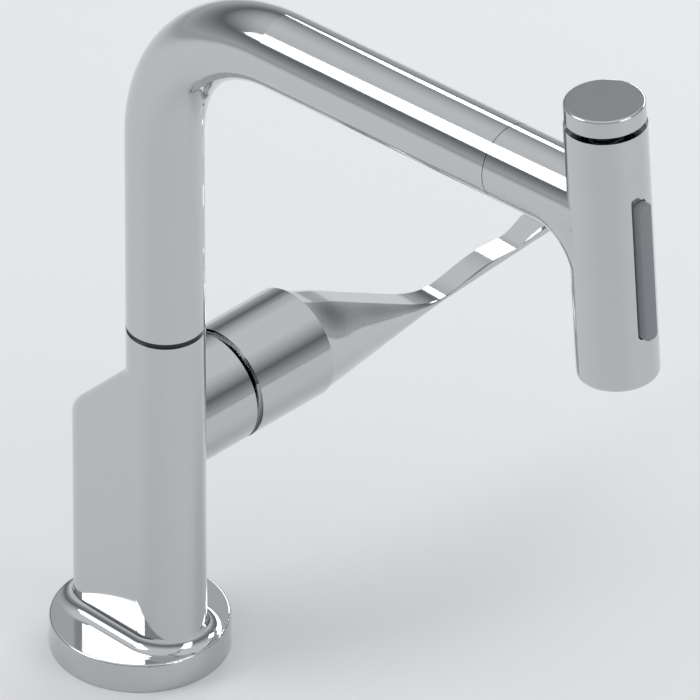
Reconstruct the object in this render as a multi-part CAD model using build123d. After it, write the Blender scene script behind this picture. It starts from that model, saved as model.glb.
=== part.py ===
"""Pull-out kitchen mixer tap: side lever, round swivelling spout and a docking spray head.

Frame, in millimetres: the origin is the centre of the base on the worktop, +X points along the
spout at rest, +Y along the lever and +Z up.
"""
import os
from math import asin, cos, degrees, radians, sin, sqrt, tan

from build123d import *

# Base and column
FLANGE_DIA = 64.0
FLANGE_HEIGHT = 11.6
FLANGE_EDGE = 0.8
FOOT_FILLET = 5.0
COLUMN_PITCH = 27.0
SHOULDER_EDGE = 6.5
NECK_FILLET = 4.0
NECK_HEIGHT = 141.0

# Spout tube
TUBE_DIA = 28.0
TUBE_WALL = 2.0
BEND_RADIUS = 63.0
ARM_RISE_DEG = 4.04
SPOUT_CORNER_HEIGHT = 281.7
ARM_LENGTH = 168.7
DOCK_GAP = 0.3
SWIVEL_HALF_TURN_DEG = 75.0

# Neck fittings
SWIVEL_RING_HEIGHT = 2.0
SWIVEL_RING_RECESS = 0.5
NECK_BORE_DIA = 22.0
NECK_BORE_DEPTH = 29.0
SPIGOT_DIA = 20.0
SPIGOT_BORE_DIA = 15.0
SPIGOT_IN_TUBE = 17.0
BUSH_HEIGHT = 6.0
SEAL_WIRE_DIA = 1.8
STOP_SCREW_DIA = 4.0
STOP_GROOVE_DEPTH = 1.5
STOP_SCREW_DROP = 9.5
SEAL_SPACING = 3.5

# Cartridge housing and lever
HOUSING_DIA = 42.0
HOUSING_BELOW_NECK = 51.0
HOUSING_LENGTH = 37.5
CARTRIDGE_DIA = 35.0
CARTRIDGE_SEAT = 9.5
CARTRIDGE_LENGTH = 21.0
NUT_THREAD_DIA = 38.0
NUT_LENGTH = 4.5
PIVOT_Y = 25.0
LEVER_GAP = 2.9
LEVER_TILT_DEG = 22.0
HUB_LENGTH = 34.8
HUB_STEP = 0.3
DOME_THICKNESS = 2.0
STEM_WIDTH = 8.0
STEM_END = 66.0
PIN_DIA = 3.0
BLADE_WIDTH = 8.8
BLADE_TOP_ROOT = -14.7
BLADE_TOP_TIP = -9.6
BLADE_BOTTOM_TIP = -11.6
BLADE_ROOT_Y = 141.0
BLADE_LEVEL_Y = 171.0
BLADE_TIP_Y = 202.0
BLADE_BEND = 1.0
BLADE_BULGE = 0.4
BLADE_CORNER = 2.5
BLADE_SECTIONS = 10
HANDLE_SCREW_DIA = 4.8
HANDLE_SCREW_Y = 60.0

# Spray head, measured along its own axis from the arm's axis
HEAD_DIA = 29.0
HEAD_ABOVE_ARM = 35.0
HEAD_BELOW_ARM = 65.0
HEAD_EDGE = 2.2
HEAD_WALL = 2.0
STUB_LENGTH = 47.3
ELBOW_RADIUS = 27.0
CORE_TOP = 11.0
DOCK_SPIGOT_DIA = 18.0
DOCK_SPIGOT_LENGTH = 26.0
HOLDER_LENGTH = 30.0
VALVE_DIA = 13.6
VALVE_LENGTH = 9.0
VALVE_DEPTH = 6.0
STRAINER_LENGTH = 1.4
HOSE_BORE_DIA = 10.0
BUTTON_DIA = 28.4
BUTTON_HEIGHT = 6.5
BUTTON_TRAVEL = 1.8
BUTTON_EDGE = 0.8
BUTTON_STEM_DIA = 8.0
SPRING_WIRE_DIA = 0.9
SPRING_DIA = 12.6
SPRING_TURNS = 5
ROCKER_LENGTH = 54.0
ROCKER_WIDTH = 5.8
ROCKER_CENTRE = -18.0
ROCKER_PROUD = 3.0
ROCKER_CORNER = 1.8
ROCKER_CLEARANCE = 0.5
ROCKER_EDGE = 0.4
ROCKER_PIN_DIA = 2.0
ROCKER_PIN_X = 8.4
PLUNGER_DIA = 4.8
PLUNGER_OFFSET = 20.0
AERATOR_DIA = 15.0
NOZZLE_COUNT = 16
NOZZLE_DIA = 1.8
NOZZLE_PROUD = 0.8
AERATOR_PROUD = 0.6
AERATOR_WALL = 1.6
STREAM_HOLE_DIA = 1.4
OUTLET_DEPTH = 5.0
JET_FLOOR = 2.0

# Mounting below the worktop
WORKTOP = 35.0
SHANK_DIA = 33.0
SHANK_BORE_DIA = 28.0
SHANK_LENGTH = 58.0
SHANK_SOCKET = 8.0
PORT_DIA = 8.9
PORT_DEPTH = 14.0
PORT_EDGE = 0.4
DRILL_POINT_DEG = 118.0
HOSE_CHANNEL_DIA = 12.4
HOSE_CHANNEL_FOOT_X = 7.0
SEAL_RING_DIA = 51.5
SEAL_RING_WIDTH = 3.4
SEAL_RING_HEIGHT = 1.8
CLAMP_DIA = 50.0
GASKET_HEIGHT = 3.0
WASHER_HEIGHT = 2.0
NUT_WIDTH = 41.0
FIXING_NUT_HEIGHT = 8.0

# Clearances on the radius
RUNNING = 0.08
SLIDING = 0.1
SEATED = 0.05
FLAT_GAP = 0.05

# Derived places
SPOUT_X = COLUMN_PITCH / 2
TUBE_R = TUBE_DIA / 2
TUBE_BORE_R = TUBE_R - TUBE_WALL
SPOUT_FOOT = NECK_HEIGHT + SWIVEL_RING_HEIGHT + FLAT_GAP
NECK_BORE_FLOOR = NECK_HEIGHT - NECK_BORE_DEPTH
HOUSING_HEIGHT = NECK_HEIGHT - HOUSING_BELOW_NECK
HOUSING_R = HOUSING_DIA / 2
HUB_START = HOUSING_LENGTH + LEVER_GAP
HUB_END = HUB_START + HUB_LENGTH
SEAM_RADIUS = sqrt(HOUSING_R**2 + (HOUSING_LENGTH - PIVOT_Y)**2)
DISH_RADIUS = sqrt(HOUSING_R**2 + (HUB_START - PIVOT_Y)**2)
DOME_RADIUS = SEAM_RADIUS - 0.6
CARTRIDGE_TOP = CARTRIDGE_SEAT + CARTRIDGE_LENGTH
HEAD_R = HEAD_DIA / 2
HEAD_BORE_R = HEAD_R - HEAD_WALL
ARM_UNIT = Vector(cos(radians(ARM_RISE_DEG)), 0, sin(radians(ARM_RISE_DEG)))
HEAD_UNIT = Vector(-sin(radians(ARM_RISE_DEG)), 0, cos(radians(ARM_RISE_DEG)))
SPOUT_CORNER = Vector(SPOUT_X, 0, SPOUT_CORNER_HEIGHT)
HEAD_CENTRE = SPOUT_CORNER + ARM_UNIT * (ARM_LENGTH + STUB_LENGTH)

# Local frames: u = X and w = -Z across the housing axis, x along the arm and z along the head
HOUSING_FRAME = Plane(origin=(0, 0, HOUSING_HEIGHT), x_dir=(1, 0, 0), z_dir=(0, 1, 0))
HEAD_FRAME = Plane(origin=HEAD_CENTRE, x_dir=ARM_UNIT, z_dir=HEAD_UNIT)
ACROSS_X = Plane(origin=(0, 0, 0), x_dir=(0, 1, 0), z_dir=(1, 0, 0))


def rod(radius, low, high, x=0.0, y=0.0):
    """A round rod along Z from low to high."""
    return Pos(x, y, (low + high) / 2) * Cylinder(radius, high - low)


def ring(outer, inner, low, high, x=0.0, y=0.0):
    """A round sleeve along Z from low to high."""
    return rod(outer, low, high, x, y) - rod(inner, low, high, x, y)


def cross_rod(radius, start, end, y=0.0, z=0.0):
    """A round rod along X from start to end."""
    return ACROSS_X.location * rod(radius, start, end, y, z)


def on_housing(shape):
    """Place a piece drawn along Z on the housing's axis, with its Z along +Y."""
    return HOUSING_FRAME.location * shape


def on_head(shape):
    """Place a piece drawn in the spray head's own frame."""
    return HEAD_FRAME.location * shape


def ball(radius, y=0.0):
    """A full ball on the housing's axis, drawn along Z."""
    return Pos(0, 0, y) * Sphere(radius)


def around(radius, count, shape, start=0.0):
    """Copies of a piece, evenly spaced on a circle about Z."""
    return [place * shape for place in PolarLocations(radius, count, start)]


def upright_bar(length, width, corner, start, end, centre_z):
    """A bar with rounded corners, its length along Z and its depth along X from start to end."""
    outline = Plane(origin=(start, 0, centre_z), x_dir=(0, 0, 1), z_dir=(1, 0, 0))
    return extrude(outline * RectangleRounded(length, width, corner), end - start)


def port_places():
    """Hot inlet, cold inlet and mixed outlet inside the shank's bore."""
    reach = SHANK_BORE_DIA / 2 - PORT_DIA / 2 - PORT_EDGE
    return [(-0.4 * reach, 0.917 * reach), (-0.4 * reach, -0.917 * reach), (-reach, 0.0)]


# Base and mounting


def rear_column():
    """Rear half of the long-oval column, under the sloping shoulder that touches the housing."""
    tall = 2 * NECK_HEIGHT
    far = 3 * COLUMN_PITCH
    prism = extrude(SlotCenterToCenter(COLUMN_PITCH, TUBE_DIA - 2 * SEATED), tall)
    rise = HOUSING_HEIGHT + HOUSING_R * sqrt(2)
    corners = [(far, rise + far), (-far, rise - far), (-far, tall + far), (far, tall + far)]
    above_slope = extrude(Plane.XZ * Polygon(*corners, align=None), TUBE_DIA, both=True)
    block = prism - above_slope
    shoulder = block.faces().filter_by(lambda f: 0.1 < f.normal_at().Z < 0.9)[0]
    block = fillet(shoulder.edges(), SHOULDER_EDGE)
    return block - Pos(SPOUT_X + far / 2, 0, tall / 2) * Box(far, far, tall)


def base_body():
    """Cast body: round base, flared foot, column, neck and cartridge housing."""
    body = rear_column() + rod(TUBE_R, 0, NECK_HEIGHT, SPOUT_X)
    shoulder_top = HOUSING_HEIGHT + HOUSING_R
    valley = body.edges().filter_by(
        lambda e: e.geom_type != GeomType.LINE
        and shoulder_top < e.center().Z < NECK_HEIGHT - 1
        and e.center().X > -TUBE_R / 2
    )
    body = fillet(valley, NECK_FILLET)
    flange = rod(FLANGE_DIA / 2, 0, FLANGE_HEIGHT)
    flange = fillet(flange.edges().sort_by(Axis.Z)[-1], FLANGE_EDGE)
    body = body + flange
    level = body.edges().filter_by_position(Axis.Z, FLANGE_HEIGHT - 0.01, FLANGE_HEIGHT + 0.01)
    foot = level.filter_by(lambda e: e.length < FLANGE_DIA * 2)
    body = fillet(foot, FOOT_FILLET)
    body = body + on_housing(rod(HOUSING_R, 0, HOUSING_LENGTH))

    body -= on_housing(rod(CARTRIDGE_DIA / 2 + SLIDING, CARTRIDGE_SEAT, HOUSING_LENGTH))
    body -= on_housing(rod(NUT_THREAD_DIA / 2, CARTRIDGE_TOP, HOUSING_LENGTH))
    body -= rod(NECK_BORE_DIA / 2, NECK_BORE_FLOOR, NECK_HEIGHT, SPOUT_X)
    body -= rod(SHANK_DIA / 2 + SEATED, 0, SHANK_SOCKET)
    body -= base_seal_ring(0)
    body -= hose_channel()
    for x, y in port_places():
        body -= Pos(x, y, SHANK_SOCKET) * hose_port()
    body -= cross_rod(STOP_SCREW_DIA / 2 + SEATED, SPOUT_X - TUBE_DIA, SPOUT_X, 0, stop_screw_height())
    return body


def hose_port():
    """Tapped hole for a hose end, from its countersunk mouth at zero up to its drill point."""
    radius = PORT_DIA / 2
    point = radius / tan(radians(DRILL_POINT_DEG / 2))
    profile = Polyline(
        (0, 0),
        (radius + PORT_EDGE, 0),
        (radius, PORT_EDGE),
        (radius, PORT_DEPTH),
        (0, PORT_DEPTH + point),
        close=True,
    )
    return revolve(Plane.XZ * make_face(profile), Axis.Z)


def hose_channel():
    """Slanted channel that leads the spray hose from the neck down into the shank."""
    foot = Vector(HOSE_CHANNEL_FOOT_X, 0, SHANK_SOCKET)
    head = Vector(SPOUT_X, 0, NECK_BORE_FLOOR)
    run = head - foot
    start = Plane(origin=foot, x_dir=(0, 1, 0), z_dir=run)
    return extrude(start * Circle(HOSE_CHANNEL_DIA / 2), run.length + 1.5)


def base_seal_ring(clearance):
    """Flat rubber ring let into the underside of the base."""
    middle = SEAL_RING_DIA / 2
    half = SEAL_RING_WIDTH / 2 - clearance
    return ring(middle + half, middle - half, 0, SEAL_RING_HEIGHT)


def threaded_shank():
    """Hollow shank, screwed into the base, that the hoses pass through."""
    return ring(SHANK_DIA / 2, SHANK_BORE_DIA / 2, SHANK_SOCKET - SHANK_LENGTH, SHANK_SOCKET)


def clamp_ring(top, height):
    """Gasket or washer that slips over the shank."""
    return ring(CLAMP_DIA / 2, SHANK_DIA / 2 + 2 * SLIDING, top - height, top)


def fixing_nut():
    """Hexagon nut that draws the tap down onto the worktop."""
    top = -WORKTOP - GASKET_HEIGHT - WASHER_HEIGHT
    outline = RegularPolygon(NUT_WIDTH / 2, 6, major_radius=False) - Circle(SHANK_DIA / 2 + SEATED)
    return extrude(Pos(0, 0, top - FIXING_NUT_HEIGHT) * outline, FIXING_NUT_HEIGHT)


# Cartridge and lever


def disc_holes(radius, low, high):
    """Three water passages through the cartridge's base and fixed disc."""
    return around(PORT_CIRCLE_R, 3, rod(radius, low, high), 90)


CARTRIDGE_FLOOR = CARTRIDGE_SEAT + 4.5
FIXED_DISC_TOP = CARTRIDGE_FLOOR + 3.5
MOVING_DISC_TOP = FIXED_DISC_TOP + 3.1
CARRIER_FOOT = MOVING_DISC_TOP + 0.6
CARRIER_TOP = CARTRIDGE_TOP + NUT_LENGTH
CARRIER_R = 13.3
MOVING_DISC_R = 11.2
SEAL_SEAT_DEPTH = 1.5
PORT_CIRCLE_R = 7.6
PORT_R = 2.8
PORT_SEAL_R = 4.4
FINGER_R = 1.6
FINGER_Y = FIXED_DISC_TOP + 0.8 + FINGER_R


def cartridge_body():
    """Plastic cup with its three ports and the running bore of the carrier."""
    cup = rod(CARTRIDGE_DIA / 2, CARTRIDGE_SEAT, CARTRIDGE_TOP)
    cup -= rod(CARRIER_R + 1.2, CARTRIDGE_FLOOR, CARRIER_FOOT - FLAT_GAP)
    cup -= rod(CARRIER_R + SLIDING, CARTRIDGE_FLOOR, CARTRIDGE_TOP)
    cup -= disc_holes(PORT_R, CARTRIDGE_SEAT, CARTRIDGE_FLOOR)
    cup -= disc_holes(PORT_SEAL_R, CARTRIDGE_SEAT, CARTRIDGE_SEAT + SEAL_SEAT_DEPTH)
    return on_housing(cup)


def cartridge_seals():
    """Rubber rings round the three ports in the cartridge's base."""
    seal = ring(PORT_SEAL_R - SEATED, PORT_R, CARTRIDGE_SEAT, CARTRIDGE_SEAT + SEAL_SEAT_DEPTH)
    return Compound(children=[on_housing(piece) for piece in around(PORT_CIRCLE_R, 3, seal, 90)])


def ceramic_fixed_disc():
    """Ground ceramic disc with the three ports."""
    disc = rod(CARRIER_R + 1.0, CARTRIDGE_FLOOR, FIXED_DISC_TOP)
    return on_housing(disc - disc_holes(PORT_R, CARTRIDGE_FLOOR, FIXED_DISC_TOP))


def ceramic_moving_disc():
    """Sliding ceramic disc with the pocket that the stem's finger drives."""
    disc = rod(MOVING_DISC_R, FIXED_DISC_TOP + FLAT_GAP, MOVING_DISC_TOP)
    return on_housing(disc - rod(FINGER_R + 0.6, FIXED_DISC_TOP + 0.6, MOVING_DISC_TOP))


def cartridge_carrier():
    """Turning sleeve that carries the stem's pin and leaves room for its tilt."""
    sleeve = rod(CARRIER_R, CARRIER_FOOT, CARRIER_TOP)
    wide = STEM_WIDTH + 0.6
    reach = (CARRIER_TOP - PIVOT_Y) * tan(radians(LEVER_TILT_DEG)) + STEM_WIDTH / 2 + 1.0
    low = STEM_WIDTH / 2 + 1.0
    slot = Box(wide, reach + low, CARRIER_TOP - CARRIER_FOOT)
    sleeve -= Pos(0, (low - reach) / 2, (CARRIER_TOP + CARRIER_FOOT) / 2) * slot
    pin_hole = cross_rod(PIN_DIA / 2 + SEATED, -CARRIER_R, CARRIER_R, PIVOT_Y, HOUSING_HEIGHT)
    return on_housing(sleeve) - pin_hole


def stem_pin():
    """Steel pin that the stem tilts on."""
    half = CARRIER_R - 0.8
    return cross_rod(PIN_DIA / 2, -half, half, PIVOT_Y, HOUSING_HEIGHT)


def cartridge_nut():
    """Threaded ring that clamps the cartridge into the housing."""
    nut = ring(NUT_THREAD_DIA / 2 - SEATED, CARRIER_R + 0.9, CARTRIDGE_TOP, CARTRIDGE_TOP + NUT_LENGTH)
    return on_housing(nut)


def dome_cap():
    """Chromed cap that turns in the housing's mouth; the hub's dish glides over its dome."""
    inner = DOME_RADIUS - DOME_THICKNESS
    seat = HOUSING_LENGTH + FLAT_GAP
    shell = ball(DOME_RADIUS, PIVOT_Y) - ball(inner, PIVOT_Y)
    shell &= rod(HOUSING_R, seat, seat + DOME_RADIUS)
    skirt_r = NUT_THREAD_DIA / 2 - SLIDING
    skirt_bore = sqrt(inner**2 - (seat - PIVOT_Y)**2)
    shell += ring(skirt_r, skirt_bore, CARTRIDGE_TOP + NUT_LENGTH + 0.4, seat)
    top = DOME_RADIUS * sin(radians(LEVER_TILT_DEG)) + STEM_WIDTH / 2 + 0.8
    low = STEM_WIDTH / 2 + 0.8
    slot = Box(STEM_WIDTH + 1.0, top + low, DOME_RADIUS)
    shell -= Pos(0, (low - top) / 2, PIVOT_Y + DOME_RADIUS) * slot
    return on_housing(shell)


def cartridge_stem():
    """Square stem that carries the lever, with the finger that slides the disc."""
    shank_foot = PIVOT_Y - 2.0
    stem = Pos(0, 0, (shank_foot + STEM_END) / 2) * Box(STEM_WIDTH, STEM_WIDTH, STEM_END - shank_foot)
    stem += rod(FINGER_R - 0.4, FINGER_Y, shank_foot) + ball(FINGER_R, FINGER_Y)
    hole = cross_rod(PIN_DIA / 2 + RUNNING, -STEM_WIDTH, STEM_WIDTH, PIVOT_Y, HOUSING_HEIGHT)
    return on_housing(stem) - hole


def soft_max(a, b):
    """The greater of two heights, with a soft bend where they cross."""
    return (a + b) / 2 + sqrt(((a - b) / 2) ** 2 + BLADE_BEND**2)


def lever_top(y):
    """Height of the lever's flat top above the housing's axis: a slope, a rise and a level tip."""
    slope = LEVER_CHORD + (BLADE_TOP_ROOT - LEVER_CHORD) * (y - HUB_END) / (BLADE_ROOT_Y - HUB_END)
    climb = (BLADE_TOP_TIP - BLADE_TOP_ROOT) / (BLADE_LEVEL_Y - BLADE_ROOT_Y)
    rise = BLADE_TOP_ROOT + climb * (y - BLADE_ROOT_Y)
    return soft_max(slope, -soft_max(-rise, -BLADE_TOP_TIP))


def lever_section(y):
    """Section of the lever: flat top and bottom as wide as the blade, with bowed sides."""
    flat = BLADE_WIDTH / 2
    outside = max(y, HUB_END)
    thinned = min((outside - HUB_END) / (BLADE_ROOT_Y - HUB_END), 1)
    side = LEVER_CONE_R + (flat + BLADE_BULGE - LEVER_CONE_R) * thinned
    top = lever_top(outside)
    fall = (BLADE_BOTTOM_TIP + LEVER_CHORD) / (BLADE_TIP_Y - HUB_END)
    bottom = -LEVER_CHORD + fall * (outside - HUB_END)
    middle = (top + bottom) / 2
    outline = [
        Line((-flat, -top), (flat, -top)),
        ThreePointArc((flat, -top), (side, -middle), (flat, -bottom)),
        Line((flat, -bottom), (-flat, -bottom)),
        ThreePointArc((-flat, -bottom), (-side, -middle), (-flat, -top)),
    ]
    return HOUSING_FRAME.location * Pos(0, 0, y) * make_face(outline)


def tip_corners():
    """The two corners, in plan, that are rounded off the blade's tip."""
    end = RectangleRounded(BLADE_WIDTH + 2 * BLADE_BULGE, 4 * BLADE_CORNER, BLADE_CORNER)
    corners = Pos(0, 1.5 * BLADE_CORNER) * Rectangle(2 * BLADE_WIDTH, BLADE_CORNER) - end
    return extrude(Pos(0, BLADE_TIP_Y - 2 * BLADE_CORNER, HOUSING_HEIGHT) * corners, HOUSING_R, both=True)


LEVER_CONE_R = HOUSING_R - HUB_STEP
LEVER_CHORD = sqrt(LEVER_CONE_R**2 - (BLADE_WIDTH / 2) ** 2)


def lever_handle():
    """Round hub with a dished back that thins to a narrow, cranked blade."""
    spacing = (BLADE_TIP_Y - HUB_END) / (BLADE_SECTIONS - 1)
    stations = [HUB_END - 1.0] + [HUB_END + spacing * i for i in range(1, BLADE_SECTIONS)]
    blade = loft([lever_section(y) for y in stations]) - tip_corners()
    lever = on_housing(rod(HOUSING_R, HUB_START, HUB_END)) + blade
    lever -= on_housing(ball(DISH_RADIUS, PIVOT_Y))
    socket = STEM_WIDTH + 2 * SEATED
    lever -= on_housing(Pos(0, 0, STEM_END / 2) * Box(socket, socket, STEM_END + 0.4))
    screw_r = HANDLE_SCREW_DIA / 2 + SEATED
    return lever - rod(screw_r, HOUSING_HEIGHT - HOUSING_R, HOUSING_HEIGHT, 0, HANDLE_SCREW_Y)


def handle_screw():
    """Socket screw that clamps the lever on the stem, from below."""
    top = HOUSING_HEIGHT - STEM_WIDTH / 2
    screw = rod(HANDLE_SCREW_DIA / 2, top - 8.0, top, 0, HANDLE_SCREW_Y)
    socket = Pos(0, HANDLE_SCREW_Y, top - 8.0) * extrude(RegularPolygon(1.2, 6), 2.5)
    return screw - socket


def handle_plug():
    """Small plug that closes the screw's hole."""
    foot = HOUSING_HEIGHT - HOUSING_R + 0.4
    return rod(HANDLE_SCREW_DIA / 2, foot, foot + 2.5, 0, HANDLE_SCREW_Y)


# Spout and its neck


def stop_screw_height():
    """Height of the screw that holds the spout in the neck."""
    return NECK_HEIGHT - STOP_SCREW_DROP


def spout_tube():
    """One bent tube: upright, bend and slightly rising arm."""
    foot = Vector(SPOUT_X, 0, SPOUT_FOOT)
    mouth = SPOUT_CORNER + ARM_UNIT * (ARM_LENGTH - DOCK_GAP)
    path = FilletPolyline(foot, SPOUT_CORNER, mouth, radius=BEND_RADIUS)
    outline = Pos(SPOUT_X, 0, SPOUT_FOOT) * (Circle(TUBE_R) - Circle(TUBE_BORE_R))
    return sweep(outline, path=path)


def spout_spigot():
    """Brass spigot fixed in the tube's foot, grooved for its seals and its stop screw."""
    top = SPOUT_FOOT + SPIGOT_IN_TUBE
    spigot = rod(TUBE_BORE_R - SEATED, SPOUT_FOOT, top)
    spigot += rod(SPIGOT_DIA / 2, NECK_BORE_FLOOR + 0.5, SPOUT_FOOT)
    spigot -= rod(SPIGOT_BORE_DIA / 2, NECK_BORE_FLOOR, top)
    for height in seal_heights():
        groove_r = SPIGOT_DIA / 2 - SEAL_WIRE_DIA / 2
        half = SEAL_WIRE_DIA / 2 + 0.1
        spigot -= ring(NECK_BORE_DIA / 2, groove_r, height - half, height + half)
    return Pos(SPOUT_X, 0, 0) * spigot - stop_groove()


def stop_groove():
    """Groove at the back of the spigot whose ends meet the stop screw at the swivel's limits."""
    depth_r = SPIGOT_DIA / 2 - STOP_GROOVE_DEPTH
    half = STOP_SCREW_DIA / 2 + 0.3
    half_turn = SWIVEL_HALF_TURN_DEG + degrees(asin(half / depth_r)) + 2.0
    centre = (depth_r + NECK_BORE_DIA / 2) / 2
    section = Pos(centre, 0) * Rectangle(NECK_BORE_DIA / 2 - depth_r, 2 * half)
    swept = revolve(Plane.XZ * section, Axis.Z, 2 * half_turn)
    return Pos(SPOUT_X, 0, stop_screw_height()) * Rot(0, 0, 180 - half_turn) * swept


def seal_heights():
    """Heights of the two rubber rings on the spigot."""
    return [NECK_BORE_FLOOR + BUSH_HEIGHT + SEAL_SPACING * i for i in (1, 2)]


def spout_seals():
    """Two rubber rings that seal the spigot in the neck."""
    rings = [Pos(SPOUT_X, 0, h) * Torus(SPIGOT_DIA / 2, SEAL_WIRE_DIA / 2 - SEATED) for h in seal_heights()]
    return Compound(children=rings)


def swivel_bushes():
    """Two plastic bushes that the spigot turns in."""
    outer = NECK_BORE_DIA / 2 - SEATED
    inner = SPIGOT_DIA / 2 + RUNNING
    low = ring(outer, inner, NECK_BORE_FLOOR, NECK_BORE_FLOOR + BUSH_HEIGHT, SPOUT_X)
    high = ring(outer, inner, NECK_HEIGHT - BUSH_HEIGHT, NECK_HEIGHT, SPOUT_X)
    return Compound(children=[low, high])


def swivel_ring():
    """Dark glide ring between neck and spout."""
    outer = TUBE_R - SWIVEL_RING_RECESS
    return ring(outer, SPIGOT_DIA / 2 + RUNNING, NECK_HEIGHT, NECK_HEIGHT + SWIVEL_RING_HEIGHT, SPOUT_X)


def stop_screw():
    """Socket screw at the back of the neck that keeps the spout in and stops its swivel."""
    tip = SPOUT_X - SPIGOT_DIA / 2 + STOP_GROOVE_DEPTH - 0.4
    head = SPOUT_X - TUBE_R + 0.8
    screw = cross_rod(STOP_SCREW_DIA / 2, head, tip, 0, stop_screw_height())
    socket = extrude(ACROSS_X.location * Pos(0, stop_screw_height(), head) * RegularPolygon(1.1, 6), 1.5)
    return screw - socket


def spray_holder():
    """Plastic sleeve in the arm's mouth that the spray head docks in."""
    mouth = -STUB_LENGTH - DOCK_GAP
    outer = cross_rod(TUBE_BORE_R - SEATED, mouth - HOLDER_LENGTH, mouth)
    return on_head(outer - cross_rod(DOCK_SPIGOT_DIA / 2 + SLIDING, mouth - HOLDER_LENGTH, mouth))


# Spray head, drawn with the arm along X and the head along Z

STUB_BORE_R = 10.0
DOCK_SEAT = STUB_BORE_R + HEAD_R - STUB_LENGTH
VALVE_SEAT = VALVE_DEPTH - STUB_LENGTH
BUTTON_FOOT = HEAD_ABOVE_ARM + BUTTON_TRAVEL + ROCKER_CLEARANCE
SPRING_FLOOR = HEAD_ABOVE_ARM - 8.0
SPRING_SEAT_DEPTH = 3.0
FACE = -HEAD_BELOW_ARM + 1.6


def rocker_window(clearance, start, end):
    """Bar of the rocker's outline, larger by a clearance."""
    length = ROCKER_LENGTH + 2 * clearance
    width = ROCKER_WIDTH + 2 * clearance
    return upright_bar(length, width, ROCKER_CORNER + clearance, start, end, ROCKER_CENTRE)


def spray_housing():
    """Chromed shell: upright head, arm stub and the elbow that blends them below."""
    shell = rod(HEAD_R, -HEAD_BELOW_ARM, HEAD_ABOVE_ARM)
    shell = fillet(shell.edges().sort_by(Axis.Z)[0], HEAD_EDGE)
    shell += cross_rod(TUBE_R, -STUB_LENGTH, 0)
    start = Plane(origin=(-ELBOW_RADIUS, 0, 0), x_dir=(0, 1, 0), z_dir=(1, 0, 0))
    turn_axis = Axis((-ELBOW_RADIUS, 0, -ELBOW_RADIUS), (0, 1, 0))
    shell += revolve(start * Circle(TUBE_R), turn_axis, 90)

    shell -= rod(HEAD_BORE_R, -HEAD_BELOW_ARM, CORE_TOP)
    shell -= cross_rod(STUB_BORE_R, -STUB_LENGTH, DOCK_SEAT)
    shell -= cross_rod(HOSE_BORE_DIA / 2 + 1.0, DOCK_SEAT, 0)
    shell -= rod(BUTTON_STEM_DIA / 2 + RUNNING, CORE_TOP, HEAD_ABOVE_ARM)
    shell -= rod(SPRING_DIA / 2 + 1.4, SPRING_FLOOR, HEAD_ABOVE_ARM)
    shell -= rocker_window(ROCKER_CLEARANCE, ROCKER_PIN_X, HEAD_DIA)
    return on_head(shell)


def docking_spigot():
    """Plastic spigot with the hose's threaded inlet, fixed in the stub."""
    inlet = -STUB_LENGTH - DOCK_SPIGOT_LENGTH
    body = cross_rod(STUB_BORE_R - SEATED, -STUB_LENGTH, DOCK_SEAT)
    body += cross_rod(DOCK_SPIGOT_DIA / 2, inlet, -STUB_LENGTH)
    body -= cross_rod(VALVE_DIA / 2, inlet, VALVE_SEAT)
    body -= cross_rod(HOSE_BORE_DIA / 2, VALVE_SEAT, DOCK_SEAT)
    return on_head(body)


def check_valve():
    """Plastic check valve that keeps used water out of the hose."""
    inlet = VALVE_SEAT - VALVE_LENGTH
    body = cross_rod(VALVE_DIA / 2 - SEATED, inlet, VALVE_SEAT)
    body -= cross_rod(VALVE_DIA * 0.31, inlet, VALVE_SEAT - VALVE_LENGTH / 3)
    return on_head(body - cross_rod(VALVE_DIA * 0.22, inlet, VALVE_SEAT))


def inlet_strainer():
    """Flat strainer in front of the check valve."""
    back = VALVE_SEAT - VALVE_LENGTH
    front = back - STRAINER_LENGTH
    disc = cross_rod(VALVE_DIA / 2 - SEATED, front, back)
    hole = rod(VALVE_DIA / 15, front, back)
    holes = around(VALVE_DIA * 0.3, 6, hole) + [hole]
    return on_head(disc - [ACROSS_X.location * each for each in holes])


def spray_core():
    """Plastic water core with the valve chamber, the rocker's bed and the plunger's bore."""
    core_foot = FACE + OUTLET_DEPTH
    core = rod(HEAD_BORE_R - SEATED, core_foot, CORE_TOP)
    core -= rod(BUTTON_STEM_DIA / 2 + 1.0, -4.0, CORE_TOP)
    core -= rod(3.0, core_foot, -4.0)
    bed_length = ROCKER_LENGTH + 2 * ROCKER_CLEARANCE
    bed_width = ROCKER_WIDTH + 2 * ROCKER_CLEARANCE
    bed = Box(HEAD_DIA, bed_width, bed_length)
    core -= Pos(rocker_bed() + HEAD_DIA / 2, 0, ROCKER_CENTRE) * bed
    core -= pin_rod(SEATED)
    core -= cross_rod(PLUNGER_DIA / 2 + SLIDING, -6.0, HEAD_R, 0, plunger_height())
    core -= cross_rod(HOSE_BORE_DIA / 2, -HEAD_R, 0)
    return on_head(core)


def rocker_bed():
    """Depth of the rocker's bed, from the head's axis."""
    return ROCKER_PIN_X - ROCKER_PIN_DIA / 2 - 2.2


def plunger_height():
    """Height of the diverter plunger, below the rocker's pin."""
    return ROCKER_CENTRE - PLUNGER_OFFSET


def pin_rod(clearance):
    """The rocker's pin, across the head."""
    half = ROCKER_WIDTH / 2 + 2.0
    rod_along_y = Rot(90, 0, 0) * Cylinder(ROCKER_PIN_DIA / 2 + clearance, 2 * half)
    return Pos(ROCKER_PIN_X, 0, ROCKER_CENTRE) * rod_along_y


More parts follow.
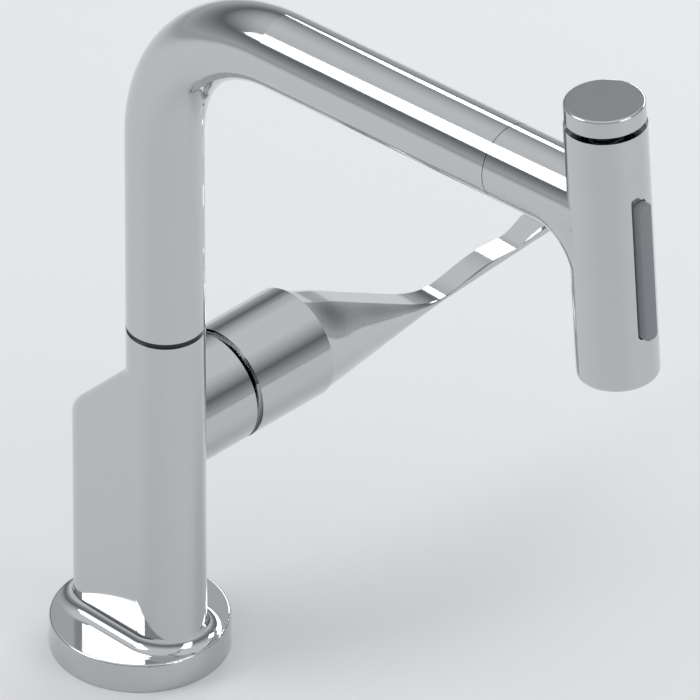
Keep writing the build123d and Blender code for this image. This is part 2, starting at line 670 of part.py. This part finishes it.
def rocker_switch():
    """Rocker that changes between stream and spray, with the lug it turns on."""
    back = ROCKER_PIN_X + 2.0
    bar = rocker_window(0, back, HEAD_DIA)
    bar &= rod(HEAD_R + ROCKER_PROUD, ROCKER_CENTRE - ROCKER_LENGTH, ROCKER_CENTRE + ROCKER_LENGTH)
    rim = [e for e in bar.edges() if e.center().X > HEAD_R - 0.5]
    bar = fillet(rim, ROCKER_EDGE)
    lug = Box(ROCKER_PIN_DIA + 3.4, ROCKER_WIDTH, 7.0)
    bar += Pos(back - ROCKER_PIN_DIA / 2 - 0.8, 0, ROCKER_CENTRE) * lug
    hole = Rot(90, 0, 0) * Cylinder(ROCKER_PIN_DIA / 2 + RUNNING, 2 * ROCKER_WIDTH)
    return on_head(bar - Pos(ROCKER_PIN_X, 0, ROCKER_CENTRE) * hole)


def diverter_plunger():
    """Plunger behind the rocker's lower end that moves the diverter."""
    top = ROCKER_PIN_X + 2.0 - 0.35
    return on_head(cross_rod(PLUNGER_DIA / 2, -3.0, top, 0, plunger_height()))


def pause_button():
    """Chromed push button on top of the head."""
    top = BUTTON_FOOT + BUTTON_HEIGHT
    cap = rod(BUTTON_DIA / 2, BUTTON_FOOT, top)
    cap = fillet(cap.edges().sort_by(Axis.Z)[-1], BUTTON_EDGE)
    cap -= rod(SPRING_DIA / 2 + 1.4, BUTTON_FOOT, BUTTON_FOOT + SPRING_SEAT_DEPTH)
    cap -= rod(BUTTON_STEM_DIA / 2 + SEATED, BUTTON_FOOT, top - 1.5)
    return on_head(cap)


def button_stem():
    """Plastic valve stem under the button."""
    return on_head(rod(BUTTON_STEM_DIA / 2, 2.0, BUTTON_FOOT + BUTTON_HEIGHT - 1.5))


def button_spring():
    """Return spring of the button."""
    length = BUTTON_FOOT + SPRING_SEAT_DEPTH - SPRING_FLOOR - SPRING_WIRE_DIA - 0.2
    mean_r = (SPRING_DIA - SPRING_WIRE_DIA) / 2
    path = Helix(length / SPRING_TURNS, length, mean_r)
    wire = Plane(origin=path @ 0, z_dir=path % 0) * Circle(SPRING_WIRE_DIA / 2)
    coil = sweep(wire, path=path, is_frenet=True)
    return on_head(Pos(0, 0, SPRING_FLOOR + SPRING_WIRE_DIA / 2 + 0.1) * coil)


def aerator():
    """Stream former in the middle of the outlet."""
    face = FACE - AERATOR_PROUD
    disc = rod(AERATOR_DIA / 2, face, FACE + OUTLET_DEPTH)
    disc -= rod(AERATOR_DIA / 2 - AERATOR_WALL, FACE + JET_FLOOR, FACE + OUTLET_DEPTH)
    hole = rod(STREAM_HOLE_DIA / 2, face, FACE + JET_FLOOR)
    outer = around(AERATOR_DIA * 0.29, 10, hole)
    inner = around(AERATOR_DIA * 0.147, 5, hole)
    return on_head(disc - outer - inner - hole)


def nozzle_mat():
    """Soft nozzle ring round the stream former."""
    tip = FACE - NOZZLE_PROUD
    mat = ring(HEAD_BORE_R - SEATED, AERATOR_DIA / 2 + SEATED, FACE, FACE + OUTLET_DEPTH)
    pitch_r = (HEAD_BORE_R + AERATOR_DIA / 2) / 2
    mat += around(pitch_r, NOZZLE_COUNT, rod(NOZZLE_DIA / 2, tip, FACE + JET_FLOOR / 2))
    return on_head(mat - around(pitch_r, NOZZLE_COUNT, rod(NOZZLE_DIA / 5, tip, FACE + JET_FLOOR)))


PIECES = {
    "base_body": base_body,
    "base_seal": lambda: base_seal_ring(SEATED),
    "threaded_shank": threaded_shank,
    "clamp_gasket": lambda: clamp_ring(-WORKTOP, GASKET_HEIGHT),
    "clamp_washer": lambda: clamp_ring(-WORKTOP - GASKET_HEIGHT, WASHER_HEIGHT),
    "fixing_nut": fixing_nut,
    "cartridge_body": cartridge_body,
    "cartridge_seals": cartridge_seals,
    "ceramic_fixed_disc": ceramic_fixed_disc,
    "ceramic_moving_disc": ceramic_moving_disc,
    "cartridge_carrier": cartridge_carrier,
    "stem_pin": stem_pin,
    "cartridge_nut": cartridge_nut,
    "dome_cap": dome_cap,
    "cartridge_stem": cartridge_stem,
    "lever_handle": lever_handle,
    "handle_screw": handle_screw,
    "handle_plug": handle_plug,
    "spout_tube": spout_tube,
    "spout_spigot": spout_spigot,
    "spout_seals": spout_seals,
    "swivel_bushes": swivel_bushes,
    "swivel_ring": swivel_ring,
    "stop_screw": stop_screw,
    "spray_holder": spray_holder,
    "spray_housing": spray_housing,
    "docking_spigot": docking_spigot,
    "check_valve": check_valve,
    "inlet_strainer": inlet_strainer,
    "spray_core": spray_core,
    "rocker_switch": rocker_switch,
    "rocker_pin": lambda: on_head(pin_rod(0)),
    "diverter_plunger": diverter_plunger,
    "pause_button": pause_button,
    "button_stem": button_stem,
    "button_spring": button_spring,
    "aerator": aerator,
    "nozzle_mat": nozzle_mat,
}

os.makedirs("parts", exist_ok=True)
for node, make in PIECES.items():
    export_step(make(), f"parts/{node}.step")
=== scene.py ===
"""Looks of a pull-out kitchen mixer tap: its finishes, the shank's thread, the spring and the studio."""

import math

import bpy
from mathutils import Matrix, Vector


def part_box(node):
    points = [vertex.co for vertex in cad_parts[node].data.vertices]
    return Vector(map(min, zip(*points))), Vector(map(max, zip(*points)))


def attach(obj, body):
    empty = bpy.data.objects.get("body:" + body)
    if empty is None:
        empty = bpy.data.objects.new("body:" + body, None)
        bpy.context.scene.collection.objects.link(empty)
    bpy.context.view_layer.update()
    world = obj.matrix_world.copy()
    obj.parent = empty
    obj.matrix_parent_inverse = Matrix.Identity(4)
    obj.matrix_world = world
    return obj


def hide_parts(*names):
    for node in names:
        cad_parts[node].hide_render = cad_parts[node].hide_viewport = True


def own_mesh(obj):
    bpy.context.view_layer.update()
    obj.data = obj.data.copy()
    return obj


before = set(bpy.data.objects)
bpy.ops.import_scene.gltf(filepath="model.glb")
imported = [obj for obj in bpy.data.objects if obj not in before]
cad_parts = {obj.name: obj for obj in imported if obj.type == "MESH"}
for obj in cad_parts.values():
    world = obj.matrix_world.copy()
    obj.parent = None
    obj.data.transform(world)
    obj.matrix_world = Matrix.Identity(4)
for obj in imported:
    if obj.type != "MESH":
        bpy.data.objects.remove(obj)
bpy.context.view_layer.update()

bl_info = {
    "name": "Kitchen mixer tap looks",
    "version": (1, 0, 0),
    "blender": (4, 5, 0),
    "location": "View3D > Sidebar > Tap",
    "description": "Finishes, shank thread and studio for a pull-out kitchen mixer tap",
    "category": "Object",
}

MM = 0.001

# Facets round the shank, and rows of them to each turn of its thread.
THREAD_STEPS = 72
ROWS_PER_TURN = 6

# The wave texture turns through this many radians per unit of its scale.
WAVE_RADIANS = 20

# Share of a metal's brightness that tarnish leaves, and the noise levels where it ends and bare metal begins.
TARNISH = 0.72
TARNISH_EDGES = (0.35, 0.65)

# Heights of the sky's darker band and of its bright top, from 0 at the horizon to 1 overhead.
SKY_BAND_HEIGHT = 0.35
SKY_TOP_HEIGHT = 0.75
SKY_STRENGTH = 0.9

# Each soft lamp's name, place and size in metres, and power in watts.
SOFTBOXES = (
    ("key_softbox", (-0.9, -1.1, 1.5), (1.0, 1.0), 11),
    ("fill_softbox", (1.5, 0.3, 0.9), (0.7, 1.2), 4),
    ("back_strip", (-0.3, 1.3, 0.9), (1.4, 0.3), 6),
)

# The camera's sensor in millimetres, and how far it sees in metres.
SENSOR_WIDTH = 36.0
FAR_CLIP = 100.0


def srgb(hex_code):
    """Linear colour, with alpha, of an sRGB hex value."""
    channels = [int(hex_code[i:i + 2], 16) / 255 for i in (0, 2, 4)]
    linear = [c / 12.92 if c <= 0.04045 else ((c + 0.055) / 1.055) ** 2.4 for c in channels]
    return (*linear, 1.0)


def colour(name, description, hex_code):
    """A colour that a user can change."""
    return bpy.props.FloatVectorProperty(
        name=name, description=description, subtype="COLOR", size=4, min=0, max=1, default=srgb(hex_code)
    )


def length(name, description, metres):
    """A length that a user can change."""
    return bpy.props.FloatProperty(
        name=name, description=description, min=0, precision=4, default=metres, unit="LENGTH"
    )


class TapFinishes(bpy.types.PropertyGroup):
    """Colours and sizes of the tap's finishes."""

    chrome: colour("Chrome", "Polished chrome plate", "C9CBCD")
    switch: colour("Switch", "Satin plastic of the rocker", "85888C")
    black: colour("Black plastic", "Glide ring and plug", "17181A")
    grey: colour("Grey plastic", "Moulded inner pieces", "B4B6B8")
    brass: colour("Brass", "Turned brass fittings", "C9A45C")
    steel: colour("Steel", "Stainless screws, pins and spring", "A9ABAD")
    ceramic: colour("Ceramic", "Ground alumina discs", "EFEDE6")
    rubber: colour("Rubber", "Seals and gasket", "1D1D1E")
    silicone: colour("Silicone", "Soft spray nozzles", "5D6063")
    thread_pitch: length("Thread pitch", "Pitch of the shank's thread", 1.5 * MM)
    thread_depth: length("Thread depth", "Depth of the shank's thread", 0.8 * MM)
    shank_wall: length("Shank wall", "Wall of the hollow shank", 2.5 * MM)


class TapStudio(bpy.types.PropertyGroup):
    """Floor, light and camera."""

    floor: colour("Worktop", "Plain pale surface under the tap", "E6E7E8")
    sky_low: colour("Horizon", "Sky at the horizon and below", "C8CACC")
    sky_band: colour("Sky band", "Darker band that the chrome mirrors", "77797C")
    sky_top: colour("Sky top", "Bright sky overhead", "F2F3F4")
    floor_size: length("Floor size", "Width of the plain floor", 60.0)
    floor_drop: length("Floor drop", "Hair's breadth between the base and the floor", 0.2 * MM)
    frame_width: length("Frame width", "Width that the picture takes in", 0.2414)
    distance: length("Camera distance", "Far camera, for nearly parallel lines", 8.6)
    azimuth: bpy.props.FloatProperty(
        name="Azimuth", description="Side the camera stands on", default=math.radians(45), subtype="ANGLE"
    )
    elevation: bpy.props.FloatProperty(
        name="Elevation", description="Camera's height", default=math.atan(math.sqrt(0.5)), subtype="ANGLE"
    )
    aim: bpy.props.FloatVectorProperty(
        name="Aim",
        description="Point in the middle of the picture",
        subtype="TRANSLATION",
        size=3,
        default=(0.1042, 0.0, 0.1764),
    )


def add_node(tree, kind, inputs=None, **settings):
    """Add a shader node with its settings; an input takes a value or another node's output."""
    made = tree.nodes.new(kind)
    for name, value in settings.items():
        setattr(made, name, value)
    for name, value in (inputs or {}).items():
        if isinstance(value, bpy.types.NodeSocket):
            tree.links.new(value, made.inputs[name])
        else:
            made.inputs[name].default_value = value
    return made


def start_material(name):
    """An empty node material and its tree."""
    material = bpy.data.materials.new(name)
    material.use_nodes = True
    material.node_tree.nodes.clear()
    return material, material.node_tree


def per_mm(size):
    """Texture scale, in repeats per metre, of a feature that is this many millimetres across."""
    return 1.0 / (size * MM)


def finish_material(tree, tint, metallic, roughness, bump=None, **extra):
    """Close a material with its surface shader."""
    inputs = {"Base Color": tint, "Metallic": metallic, "Roughness": roughness, **extra}
    if bump is not None:
        inputs["Normal"] = bump
    surface = add_node(tree, "ShaderNodeBsdfPrincipled", inputs)
    add_node(tree, "ShaderNodeOutputMaterial", {"Surface": surface.outputs["BSDF"]})


def chrome_plate(tint):
    """Bright chrome on polished brass: mirror-like, with faint buffing waves and haze patches."""
    haze_mm = 14
    wave_mm = 9
    material, tree = start_material("polished_chrome_plate")
    place = add_node(tree, "ShaderNodeTexCoord").outputs["Object"]
    haze = add_node(tree, "ShaderNodeTexNoise", {"Vector": place, "Scale": per_mm(haze_mm), "Detail": 3.0})
    rough = add_node(
        tree, "ShaderNodeMapRange", {"Value": haze.outputs["Fac"], "To Min": 0.045, "To Max": 0.10}
    )
    wave = add_node(tree, "ShaderNodeTexNoise", {"Vector": place, "Scale": per_mm(wave_mm), "Detail": 1.0})
    bump = add_node(
        tree, "ShaderNodeBump", {"Height": wave.outputs["Fac"], "Strength": 0.05, "Distance": 0.05 * MM}
    )
    finish_material(tree, tint, 1.0, rough.outputs["Result"], bump.outputs["Normal"])
    return material


def moulded_plastic(name, tint, roughness, grain_mm):
    """Moulded acetal: soft gloss over a fine spark-eroded grain, drawn coarse enough to show."""
    spread = 0.07
    material, tree = start_material(name)
    place = add_node(tree, "ShaderNodeTexCoord").outputs["Object"]
    grain = add_node(tree, "ShaderNodeTexNoise", {"Vector": place, "Scale": per_mm(grain_mm), "Detail": 2.0})
    rough = add_node(
        tree,
        "ShaderNodeMapRange",
        {"Value": grain.outputs["Fac"], "To Min": roughness - spread, "To Max": roughness + spread},
    )
    bump = add_node(
        tree, "ShaderNodeBump", {"Height": grain.outputs["Fac"], "Strength": 0.25, "Distance": 0.05 * MM}
    )
    finish_material(tree, tint, 0.0, rough.outputs["Result"], bump.outputs["Normal"], IOR=1.48)
    return material


def turned_metal(name, tint, line_mm, roughness):
    """Lathe-turned metal: tool lines round the piece and a little tarnish in patches."""
    patch_mm = 6
    material, tree = start_material(name)
    place = add_node(tree, "ShaderNodeTexCoord").outputs["Object"]
    # The lines lie 2 pi times line_mm apart: coarser than a lathe leaves them, so that they show.
    lines = add_node(
        tree,
        "ShaderNodeTexWave",
        {"Vector": place, "Scale": per_mm(line_mm) / WAVE_RADIANS, "Distortion": 0.4, "Detail": 1.0},
        bands_direction="Z",
    )
    bump = add_node(
        tree, "ShaderNodeBump", {"Height": lines.outputs["Fac"], "Strength": 0.3, "Distance": 0.04 * MM}
    )
    patch = add_node(tree, "ShaderNodeTexNoise", {"Vector": place, "Scale": per_mm(patch_mm), "Detail": 3.0})
    ramp = add_node(tree, "ShaderNodeValToRGB", {"Fac": patch.outputs["Fac"]})
    tarnished = (*(TARNISH * c for c in tint[:3]), 1.0)
    for stop, edge, shade in zip(ramp.color_ramp.elements, TARNISH_EDGES, (tarnished, tuple(tint))):
        stop.position = edge
        stop.color = shade
    finish_material(tree, ramp.outputs["Color"], 1.0, roughness, bump.outputs["Normal"])
    return material


def moulded_rubber(name, tint, roughness):
    """Moulded rubber: matt, with a faint bloom in patches."""
    bloom_mm = 5
    spread = 0.1
    material, tree = start_material(name)
    place = add_node(tree, "ShaderNodeTexCoord").outputs["Object"]
    bloom = add_node(tree, "ShaderNodeTexNoise", {"Vector": place, "Scale": per_mm(bloom_mm), "Detail": 4.0})
    rough = add_node(
        tree,
        "ShaderNodeMapRange",
        {"Value": bloom.outputs["Fac"], "To Min": roughness - spread, "To Max": roughness + spread},
    )
    bump = add_node(
        tree, "ShaderNodeBump", {"Height": bloom.outputs["Fac"], "Strength": 0.2, "Distance": 0.1 * MM}
    )
    finish_material(tree, tint, 0.0, rough.outputs["Result"], bump.outputs["Normal"], IOR=1.52)
    return material


def dress(material, *nodes):
    """Give CAD nodes a finish."""
    for name in nodes:
        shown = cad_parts[name]
        shown.data.materials.clear()
        shown.data.materials.append(material)


class TAP_OT_chrome(bpy.types.Operator):
    """Chrome the body, spout, lever, spray head and button"""

    bl_idname = "tap.chrome"
    bl_label = "Chrome pieces"

    def execute(self, context):
        finishes = context.scene.tap_finishes
        dress(
            chrome_plate(finishes.chrome),
            "base_body", "spout_tube", "lever_handle", "dome_cap", "spray_housing", "pause_button",
        )
        return {"FINISHED"}


class TAP_OT_plastics(bpy.types.Operator):
    """Finish the moulded plastic pieces"""

    bl_idname = "tap.plastics"
    bl_label = "Plastic pieces"

    def execute(self, context):
        finishes = context.scene.tap_finishes
        dress(
            moulded_plastic("satin_switch_plastic", finishes.switch, roughness=0.36, grain_mm=0.5),
            "rocker_switch",
        )
        dress(
            moulded_plastic("black_acetal", finishes.black, roughness=0.42, grain_mm=0.6),
            "swivel_ring", "handle_plug",
        )
        dress(
            moulded_plastic("grey_acetal", finishes.grey, roughness=0.45, grain_mm=0.6),
            "cartridge_body", "cartridge_carrier", "swivel_bushes", "spray_holder", "docking_spigot",
            "check_valve", "inlet_strainer", "spray_core", "diverter_plunger", "button_stem", "aerator",
        )
        return {"FINISHED"}


class TAP_OT_metals(bpy.types.Operator):
    """Finish the brass fittings and the steel screws, pins and spring"""

    bl_idname = "tap.metals"
    bl_label = "Brass and steel pieces"

    def execute(self, context):
        finishes = context.scene.tap_finishes
        dress(
            turned_metal("turned_brass", finishes.brass, line_mm=0.5, roughness=0.28),
            "fixing_nut", "cartridge_nut", "spout_spigot",
        )
        dress(
            turned_metal("stainless_steel", finishes.steel, line_mm=0.4, roughness=0.3),
            "clamp_washer", "stem_pin", "cartridge_stem", "handle_screw", "stop_screw", "rocker_pin",
            "button_spring",
        )
        return {"FINISHED"}


def on_shank(radius, step, z):
    """Point at one of the steps round the shank."""
    angle = 2 * math.pi * step / THREAD_STEPS
    return radius * math.cos(angle), radius * math.sin(angle), z


def threaded_sleeve(low, high, outer, bore, pitch, depth):
    """Points and faces of a closed sleeve along Z with a helical thread on its outside."""
    rows = round((high - low) / pitch * ROWS_PER_TURN)
    points = []
    for row in range(rows + 1):
        z = low + (high - low) * row / rows
        for step in range(THREAD_STEPS):
            phase = (z / pitch - step / THREAD_STEPS) % 1
            points.append(on_shank(outer - depth * abs(2 * phase - 1), step, z))
    for z in (high, low):
        points += [on_shank(bore, step, z) for step in range(THREAD_STEPS)]
    # Rings run up the outside, then from the bore's top to its foot, and the last joins the first.
    rings = range(0, len(points), THREAD_STEPS)
    faces = []
    for lower, upper in zip(rings, [*rings[1:], rings[0]]):
        for step in range(THREAD_STEPS):
            after = (step + 1) % THREAD_STEPS
            faces.append((lower + step, lower + after, upper + after, upper + step))
    return points, faces


class TAP_OT_thread(bpy.types.Operator):
    """Cut the thread on the mounting shank"""

    bl_idname = "tap.thread"
    bl_label = "Shank thread"

    def execute(self, context):
        finishes = context.scene.tap_finishes
        low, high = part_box("threaded_shank")
        bore = high.x - finishes.shank_wall
        points, faces = threaded_sleeve(
            low.z, high.z, high.x, bore, finishes.thread_pitch, finishes.thread_depth
        )
        mesh = bpy.data.meshes.new("threaded_shank_visual")
        mesh.from_pydata(points, [], faces)
        mesh.materials.append(bpy.data.materials["turned_brass"])
        shank = bpy.data.objects.new("threaded_shank_visual", mesh)
        context.scene.collection.objects.link(shank)
        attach(shank, "base")
        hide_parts("threaded_shank")
        return {"FINISHED"}


class TAP_OT_spring(bpy.types.Operator):
    """Give the button's spring a mesh of its own that rides on the spray head"""

    bl_idname = "tap.spring"
    bl_label = "Button spring"

    def execute(self, context):
        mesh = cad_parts["button_spring"].data.copy()
        spring = bpy.data.objects.new("button_spring_visual", mesh)
        context.scene.collection.objects.link(spring)
        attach(spring, "spray_head")
        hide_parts("button_spring")
        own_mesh(spring)
        return {"FINISHED"}


class TAP_OT_seals(bpy.types.Operator):
    """Finish the rubber seals, the soft nozzles and the ceramic discs"""

    bl_idname = "tap.seals"
    bl_label = "Seals, nozzles and discs"

    def execute(self, context):
        finishes = context.scene.tap_finishes
        dress(
            moulded_rubber("moulded_rubber", finishes.rubber, roughness=0.6),
            "base_seal", "clamp_gasket", "cartridge_seals", "spout_seals",
        )
        dress(moulded_rubber("soft_silicone", finishes.silicone, roughness=0.5), "nozzle_mat")
        # Ground alumina has a soft gloss over a fine grain too.
        dress(
            moulded_plastic("ground_alumina", finishes.ceramic, roughness=0.3, grain_mm=0.4),
            "ceramic_fixed_disc", "ceramic_moving_disc",
        )
        return {"FINISHED"}


def lay_worktop(scene, studio):
    """Lay the plain floor just under the base."""
    half = studio.floor_size / 2
    level = -studio.floor_drop
    corners = [(-half, -half, level), (half, -half, level), (half, half, level), (-half, half, level)]
    mesh = bpy.data.meshes.new("worktop")
    mesh.from_pydata(corners, [], [(0, 1, 2, 3)])
    floor = bpy.data.objects.new("worktop", mesh)
    scene.collection.objects.link(floor)
    material, tree = start_material("pale_worktop")
    finish_material(tree, tuple(studio.floor), metallic=0.0, roughness=0.7)
    mesh.materials.append(material)


def hang_sky(scene, studio):
    """Light the tap from all round, with a darker band that gives the chrome something to mirror."""
    world = bpy.data.worlds.new("studio")
    world.use_nodes = True
    tree = world.node_tree
    tree.nodes.clear()
    ray = add_node(tree, "ShaderNodeTexCoord").outputs["Generated"]
    height = add_node(tree, "ShaderNodeSeparateXYZ", {"Vector": ray}).outputs["Z"]
    sky = add_node(tree, "ShaderNodeValToRGB", {"Fac": height})
    sky.color_ramp.elements[0].color = tuple(studio.sky_low)
    sky.color_ramp.elements[1].position = SKY_TOP_HEIGHT
    sky.color_ramp.elements[1].color = tuple(studio.sky_top)
    sky.color_ramp.elements.new(SKY_BAND_HEIGHT).color = tuple(studio.sky_band)
    back = add_node(
        tree, "ShaderNodeBackground", {"Color": sky.outputs["Color"], "Strength": SKY_STRENGTH}
    )
    add_node(tree, "ShaderNodeOutputWorld", {"Surface": back.outputs["Background"]})
    scene.world = world


def hang_softbox(scene, name, place, size, power, aim):
    """A large soft lamp that looks at a point."""
    lamp = bpy.data.lights.new(name, "AREA")
    lamp.shape = "RECTANGLE"
    lamp.size, lamp.size_y = size
    lamp.energy = power
    holder = bpy.data.objects.new(name, lamp)
    holder.location = place
    holder.rotation_euler = (Vector(aim) - Vector(place)).to_track_quat("-Z", "Y").to_euler()
    scene.collection.objects.link(holder)


def stand_camera(scene, studio):
    """Stand the camera far off, with a long lens that takes in the frame's width."""
    camera = bpy.data.cameras.new("camera")
    camera.sensor_width = SENSOR_WIDTH
    camera.lens = camera.sensor_width * studio.distance / studio.frame_width
    camera.clip_end = FAR_CLIP
    holder = bpy.data.objects.new("camera", camera)
    away = Vector((
        math.cos(studio.elevation) * math.sin(studio.azimuth),
        -math.cos(studio.elevation) * math.cos(studio.azimuth),
        math.sin(studio.elevation),
    ))
    holder.location = Vector(studio.aim) + away * studio.distance
    holder.rotation_euler = (-away).to_track_quat("-Z", "Y").to_euler()
    scene.collection.objects.link(holder)
    scene.camera = holder


class TAP_OT_stage(bpy.types.Operator):
    """Make the pale worktop, the soft light and the camera"""

    bl_idname = "tap.stage"
    bl_label = "Studio"

    def execute(self, context):
        scene = context.scene
        studio = scene.tap_studio
        lay_worktop(scene, studio)
        hang_sky(scene, studio)
        for name, place, size, power in SOFTBOXES:
            hang_softbox(scene, name, place, size, power, studio.aim)
        stand_camera(scene, studio)
        scene.view_settings.view_transform = "Standard"
        return {"FINISHED"}


class TAP_PT_sidebar(bpy.types.Panel):
    """Lists the tap's tools in the sidebar"""

    bl_idname = "TAP_PT_sidebar"
    bl_label = "Kitchen mixer tap"
    bl_space_type = "VIEW_3D"
    bl_region_type = "UI"
    bl_category = "Tap"

    def draw(self, context):
        for tool in TOOLS:
            self.layout.operator(tool.bl_idname)


TOOLS = (
    TAP_OT_chrome,
    TAP_OT_plastics,
    TAP_OT_metals,
    TAP_OT_thread,
    TAP_OT_spring,
    TAP_OT_seals,
    TAP_OT_stage,
)
CLASSES = (TapFinishes, TapStudio, *TOOLS, TAP_PT_sidebar)


def register():
    """Register the classes and hang the settings on the scene."""
    for each in CLASSES:
        bpy.utils.register_class(each)
    bpy.types.Scene.tap_finishes = bpy.props.PointerProperty(type=TapFinishes)
    bpy.types.Scene.tap_studio = bpy.props.PointerProperty(type=TapStudio)


def unregister():
    """Take the settings and the classes away again."""
    del bpy.types.Scene.tap_studio
    del bpy.types.Scene.tap_finishes
    for each in reversed(CLASSES):
        bpy.utils.unregister_class(each)


def main():
    """Dress the tap and set up the studio."""
    register()
    bpy.ops.tap.chrome()
    bpy.ops.tap.plastics()
    bpy.ops.tap.metals()
    bpy.ops.tap.thread()
    bpy.ops.tap.spring()
    bpy.ops.tap.seals()
    bpy.ops.tap.stage()


if __name__ == "__main__":
    main()
